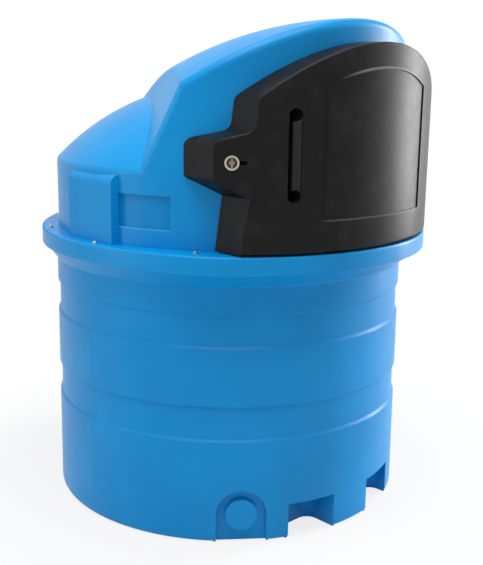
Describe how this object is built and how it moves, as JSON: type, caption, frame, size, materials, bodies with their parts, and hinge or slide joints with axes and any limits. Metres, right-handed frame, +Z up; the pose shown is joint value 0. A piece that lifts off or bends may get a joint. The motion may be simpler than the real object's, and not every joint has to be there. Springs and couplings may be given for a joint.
{
  "type": "diesel exhaust fluid tank",
  "caption": "Round bunded plastic fluid tank with a cowled hood, a lockable curved cabinet door over a dispensing pump, and fork pockets in its base.",
  "frame": {"origin": "on the floor in the tank's axis", "axes": "+Z up, -Y towards the door, +X to the right as one faces the door"},
  "size_m": [1.4999, 1.535, 1.8479],
  "materials": {
    "bund_blue": "moulded polyethylene with a soft sheen",
    "hood_blue": "moulded polyethylene with a soft sheen",
    "door_charcoal": "moulded polyethylene, fine grain",
    "inner_blue": "moulded polyethylene, unpolished",
    "black_plastic": "moulded plastic",
    "black_rubber": "extruded rubber",
    "stainless": "stainless steel",
    "lock_metal": "plated zinc",
    "shelf_paint": "powder coat",
    "motor_paint": "enamel",
    "clear_bowl": "clear plastic",
    "white_plastic": "moulded plastic",
    "display_glass": "clear window",
    "switch_red": "moulded plastic"
  },
  "bodies": {
    "tank": {"bund_tub": "bund_blue", "hood": "hood_blue", "inner_tank": "inner_blue", "inspection_lid": "black_plastic", "rim_seal": "black_rubber", "door_seal": "black_rubber", "rim_screws": "stainless", "rim_washers": "stainless", "rim_nuts": "stainless", "hinge_bracket_lower": "black_plastic", "hinge_bracket_upper": "black_plastic", "hinge_pin_lower": "stainless", "hinge_pin_upper": "stainless", "lock_keeper": "stainless", "pump_shelf": "shelf_paint", "pump_head": "motor_paint", "pump_motor": "motor_paint", "motor_cover": "black_plastic", "terminal_box": "black_plastic", "inlet_nipple": "stainless", "outlet_nipple": "stainless", "filter_head": "black_plastic", "filter_bowl": "clear_bowl", "suction_pipe": "white_plastic", "foot_valve": "white_plastic", "flow_meter": "black_plastic", "outlet_elbow": "stainless", "hose_tail": "stainless", "hinge_screws": "stainless", "shelf_screws": "stainless", "meter_display": "display_glass", "vent_cap": "black_plastic", "level_probe": "black_plastic", "fill_pipe": "stainless", "fill_coupling": "stainless", "fill_cap": "black_plastic", "gauge_display": "black_plastic", "gauge_window": "display_glass", "cable_gland": "black_plastic", "gland_nut": "black_plastic"},
    "door": {"door": "door_charcoal", "lock_housing": "lock_metal", "lock_nut": "lock_metal"},
    "lock": {"lock_barrel": "lock_metal", "lock_cam": "stainless"},
    "switch": {"pump_switch": "switch_red"}
  },
  "joints": [
    {"name": "door_hinge", "type": "hinge", "parent": "tank", "child": "door", "pos_m": [0.53389, -0.49786, 1.32], "axis": [0, 0, 1], "range_deg": [0, 110]},
    {"name": "lock_turn", "type": "hinge", "parent": "door", "child": "lock", "pos_m": [-0.53034, -0.57876, 1.379], "axis": [-0.6756, -0.7373, 0], "range_deg": [0, 90]},
    {"name": "switch_turn", "type": "hinge", "parent": "tank", "child": "switch", "pos_m": [0.05, -0.275, 1.4715], "axis": [0, -1, 0], "range_deg": [0, 90]}
  ]
}
